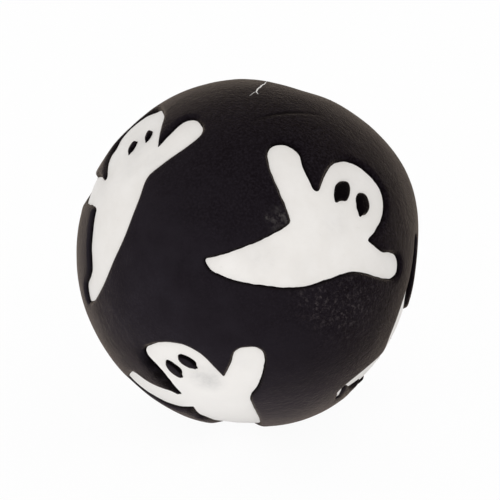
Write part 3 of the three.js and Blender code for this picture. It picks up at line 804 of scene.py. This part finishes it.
class Material:
    """A node material around one Principled shader, with the object's own coordinates to hand."""

    def __init__(self, name, roughness, **sockets):
        self.material = bpy.data.materials.new(name)
        self.material.use_nodes = True
        self.nodes, self.links = self.material.node_tree.nodes, self.material.node_tree.links
        self.shader = self.nodes["Principled BSDF"]
        self.shader.inputs["Roughness"].default_value = roughness
        for socket, value in sockets.items():
            self.shader.inputs[socket.replace("_", " ")].default_value = value
        self.place = self.nodes.new("ShaderNodeTexCoord").outputs["Object"]

    def noise(self, wavelength, detail=3, rough=0.5):
        """Noise with a wavelength in millimetres."""
        node = self.nodes.new("ShaderNodeTexNoise")
        node.inputs["Scale"].default_value = 1 / (wavelength * MM)
        node.inputs["Detail"].default_value = detail
        node.inputs["Roughness"].default_value = rough
        self.links.new(self.place, node.inputs["Vector"])
        return node.outputs["Fac"]

    def remap(self, value, low, high, to_low=0.0, to_high=1.0):
        """Eases a value between two limits into another range."""
        node = self.nodes.new("ShaderNodeMapRange")
        node.interpolation_type = "SMOOTHSTEP"
        for socket, number in zip(node.inputs[1:5], (low, high, to_low, to_high)):
            socket.default_value = number
        self.links.new(value, node.inputs[0])
        return node.outputs[0]

    def math(self, operation, *values):
        node = self.nodes.new("ShaderNodeMath")
        node.operation = operation
        for socket, value in zip(node.inputs, values):
            if isinstance(value, (int, float)):
                socket.default_value = value
            else:
                self.links.new(value, socket)
        return node.outputs[0]

    def spot(self, out, radius):
        """A soft round mask about a place on the ball."""
        node = self.nodes.new("ShaderNodeVectorMath")
        node.operation = "DISTANCE"
        self.links.new(self.place, node.inputs[0])
        node.inputs[1].default_value = (CENTRE + out * BALL_RADIUS) * MM
        return self.remap(node.outputs["Value"], radius * MM, 0.0)

    def attribute(self, name):
        node = self.nodes.new("ShaderNodeAttribute")
        node.attribute_name = name
        return node.outputs["Fac"]

    def mix(self, share, first, second):
        node = self.nodes.new("ShaderNodeMix")
        node.data_type = "RGBA"
        self.links.new(share, node.inputs["Factor"])
        for socket, colour in zip((node.inputs[6], node.inputs[7]), (first, second)):
            if isinstance(colour, tuple):
                socket.default_value = (*colour, 1)
            else:
                self.links.new(colour, socket)
        return node.outputs[2]

    def colour(self, value):
        self.links.new(value, self.shader.inputs["Base Color"])

    def bump(self, *layers):
        """Bump from pairs of a height and its size in millimetres, one over the other."""
        normal = None
        for height, size in layers:
            node = self.nodes.new("ShaderNodeBump")
            node.inputs["Strength"].default_value = 1
            node.inputs["Distance"].default_value = size * MM
            self.links.new(height, node.inputs["Height"])
            if normal is not None:
                self.links.new(normal, node.inputs["Normal"])
            normal = node.outputs["Normal"]
        self.links.new(normal, self.shader.inputs["Normal"])


def latex_black():
    look = Material("latex_black", 0.62, Specular_IOR_Level=0.0, Sheen_Weight=0.35, Sheen_Roughness=0.3,
                    Sheen_Tint=BLACK_SHEEN)
    # Dust and painted light: the black turns lighter towards the ball's lower left side and darker away from
    # it
    dust_and_light = look.spot(direction(*DUST_AND_LIGHT), DUST_AND_LIGHT_RADIUS)
    clouds = look.remap(look.noise(7, 4, 0.6), 0.3, 0.7, 0.75, 1.25)
    tint = look.mix(look.math("MULTIPLY", dust_and_light, clouds), BLACK_CLEAN_AND_DIM, BLACK_DUSTY_AND_LIT)
    grain = look.remap(look.noise(0.42, 3, 0.7), 0.36, 0.74)
    tint = look.mix(grain, tint, BLACK_GRAIN)
    # Painted light from the floor: the black turns lighter on the underside
    tint = look.mix(look.spot(direction(*LIT_UNDERSIDE), LIT_UNDERSIDE_RADIUS), tint, BLACK_LIT_UNDERSIDE)
    specks = look.remap(look.noise(0.85, 4, 0.75), 0.5, 0.72)
    for pixel, radius in SCUFFS:
        scuff = look.math("MULTIPLY", look.spot(seen_at(pixel), radius), specks)
        tint = look.mix(scuff, tint, BLACK_SCUFFED)
    wiped = look.remap(look.noise(1.4, 4, 0.7), 0.42, 0.66)
    for pixel, radius, strength in SMEARS:
        uneven = look.math("MULTIPLY", wiped, strength)
        smear = look.math("MULTIPLY", look.spot(seen_at(pixel), radius), uneven)
        tint = look.mix(smear, tint, BLACK_SMEARED)
    # Painted shade in the pockets, on their walls and banks, along the crease and on the eyes' islands
    tint = look.mix(look.attribute("painted_shade"), tint, BLACK_PAINTED_SHADE)
    look.colour(tint)
    look.links.new(look.remap(look.noise(2.5, 4), 0.3, 0.7, 0.54, 0.7), look.shader.inputs["Roughness"])
    look.bump((look.noise(3.2, 3), 0.1), (look.noise(0.9, 2), 0.08), (look.noise(0.35, 3, 0.7), 0.13))
    return look.material


def latex_white():
    look = Material("latex_white", 0.55, Specular_IOR_Level=0.3)
    clouds = look.remap(look.noise(6, 4, 0.6), 0.3, 0.7)
    tint = look.mix(clouds, WHITE_DULL, WHITE_BRIGHT)
    stain = look.remap(look.noise(1.6, 4, 0.7), 0.6, 0.85, 0, 0.5)
    tint = look.mix(stain, tint, WHITE_STAINED)
    # Painted light: the white turns brighter about ghost_low, low on the ball
    tint = look.mix(look.spot(direction(*LIT_WHITE), LIT_WHITE_RADIUS), tint, WHITE_PAINTED_LIT)
    brushed = look.remap(look.noise(1.6, 3, 0.6), 0.25, 0.75, 0.45, 1)
    # Darker grey patches on the white coats, uneven within
    for pixel, radius, strength in GREY_PATCHES:
        uneven = look.math("MULTIPLY", brushed, strength)
        grey_patch = look.math("MULTIPLY", look.spot(seen_at(pixel), radius), uneven)
        tint = look.mix(grey_patch, tint, WHITE_GREYED)
    look.colour(tint)
    look.bump((look.noise(2.2, 3), 0.06), (look.noise(0.4, 2), 0.01))
    return look.material


def milky_plastic():
    look = Material("milky_plastic", 0.4, Subsurface_Weight=0.15, Subsurface_Scale=0.001)
    look.colour(look.mix(look.remap(look.noise(4, 3), 0.3, 0.7), PLASTIC_DULL, PLASTIC_BRIGHT))
    look.links.new(look.remap(look.noise(1.5, 3), 0.3, 0.7, 0.34, 0.48), look.shader.inputs["Roughness"])
    look.bump((look.noise(0.5, 2), 0.006))
    return look.material


def amber_film():
    look = Material("amber_film", 0.22, Coat_Weight=0.3)
    look.colour(look.mix(look.remap(look.noise(1.2, 3), 0.3, 0.7), FILM_DARK, FILM_LIGHT))
    return look.material


def white_fibre():
    look = Material("white_fibre", 0.95, Sheen_Weight=0.4, Sheen_Roughness=0.6)
    strands = look.remap(look.noise(1.5, 5, 0.7), 0.3, 0.7)
    look.colour(look.mix(strands, FIBRE_DULL, FIBRE_BRIGHT))
    look.bump((look.noise(0.6, 5, 0.75), 0.25))
    return look.material


def seen_rays(nodes, links):
    """Rays by which the background is seen: straight, mirrored or through glass."""
    rays = nodes.new("ShaderNodeLightPath")
    either = rays.outputs["Is Camera Ray"]
    for name in ("Is Glossy Ray", "Is Transmission Ray"):
        node = nodes.new("ShaderNodeMath")
        node.operation = "MAXIMUM"
        links.new(either, node.inputs[0])
        links.new(rays.outputs[name], node.inputs[1])
        either = node.outputs[0]
    return either


def floor_white():
    """Pale floor: mostly plain white where it is seen, with the ball's soft shadow kept."""
    material = bpy.data.materials.new("floor_white")
    material.use_nodes = True
    nodes, links = material.node_tree.nodes, material.node_tree.links
    nodes.clear()
    paper = nodes.new("ShaderNodeBsdfDiffuse")
    paper.inputs["Color"].default_value = (FLOOR_WHITE, FLOOR_WHITE, FLOOR_WHITE, 1)
    share = nodes.new("ShaderNodeMath")
    share.operation = "MULTIPLY"
    share.inputs[1].default_value = FLOOR_GLOW
    links.new(seen_rays(nodes, links), share.inputs[0])
    both = nodes.new("ShaderNodeMixShader")
    links.new(share.outputs[0], both.inputs[0])
    links.new(paper.outputs[0], both.inputs[1])
    links.new(nodes.new("ShaderNodeEmission").outputs[0], both.inputs[2])
    links.new(both.outputs[0], nodes.new("ShaderNodeOutputMaterial").inputs["Surface"])
    return material


# Pieces on the frame

BLACK, WHITE = latex_black(), latex_white()
PLASTIC, FILM, FIBRE = milky_plastic(), amber_film(), white_fibre()
CAD_PIECES = [("squeaker_guard", PLASTIC), ("reed_bed", PLASTIC), ("reed_clamp", PLASTIC), ("reed", FILM)]


def place(piece, material, slot, *nodes):
    """Gives a piece its material and body, and hides the CAD nodes that it replaces; its slot is not used.
    """
    piece.data.materials.clear()
    piece.data.materials.append(material)
    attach(piece, "ball")
    if nodes:
        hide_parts(*nodes)


place(make_skin(), BLACK, "latex_black", "latex_skin")
for seed, ghost in enumerate(ghosts):
    place(make_coat(ghost, seed * COAT_SEED), WHITE, "latex_white", ghost.name)
place(make_wisp(), WHITE, "latex_white")
place(make_plug(), PLASTIC, "squeaker_white", "squeaker_plug")
stuffing = make_stuffing()
place(stuffing, FIBRE, "fibre", "fibre_filling")
for node, material in CAD_PIECES:
    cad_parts[node].data.materials.clear()
    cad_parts[node].data.materials.append(material)


# Stage

def make_floor():
    bpy.ops.mesh.primitive_plane_add(size=FLOOR_SIZE)
    floor = bpy.context.object
    floor.name = "floor"
    floor.data.materials.append(floor_white())


def make_world():
    """Even white studio, plain white where it is seen."""
    world = bpy.data.worlds.new("studio")
    bpy.context.scene.world = world
    world.use_nodes = True
    nodes, links = world.node_tree.nodes, world.node_tree.links
    level = nodes.new("ShaderNodeMix")
    links.new(seen_rays(nodes, links), level.inputs["Factor"])
    level.inputs[2].default_value = STUDIO_LIGHT
    level.inputs[3].default_value = 1
    links.new(level.outputs[0], nodes["Background"].inputs["Strength"])
    nodes["Background"].inputs["Color"].default_value = (1, 1, 1, 1)


def make_lamp(name, longitude, latitude, distance, width, height, power):
    lamp = bpy.data.lights.new(name, "AREA")
    lamp.shape = "RECTANGLE"
    lamp.size = width
    lamp.size_y = height
    lamp.energy = power
    holder = bpy.data.objects.new(name, lamp)
    out = Vector(direction(longitude, latitude))
    holder.location = out * distance
    holder.rotation_euler = out.to_track_quat("Z", "Y").to_euler()
    bpy.context.scene.collection.objects.link(holder)


def make_camera():
    camera = bpy.data.objects.new("camera", bpy.data.cameras.new("camera"))
    camera.data.lens = LENS
    camera.data.sensor_width = SENSOR
    camera.data.shift_x = (IMAGE_SIZE / 2 - BALL_PIXEL[0]) / IMAGE_SIZE
    camera.data.shift_y = (BALL_PIXEL[1] - IMAGE_SIZE / 2) / IMAGE_SIZE
    camera.location = (CENTRE + CAMERA_OUT * CAMERA_DISTANCE) * MM
    camera.rotation_euler = Vector(CAMERA_OUT).to_track_quat("Z", "Y").to_euler()
    bpy.context.scene.collection.objects.link(camera)
    bpy.context.scene.camera = camera


make_floor()
make_world()
make_lamp("front_light", longitude=-12, latitude=4.5, distance=0.7, width=0.5, height=0.1, power=1)
make_camera()
bpy.context.scene.view_settings.view_transform = "Standard"
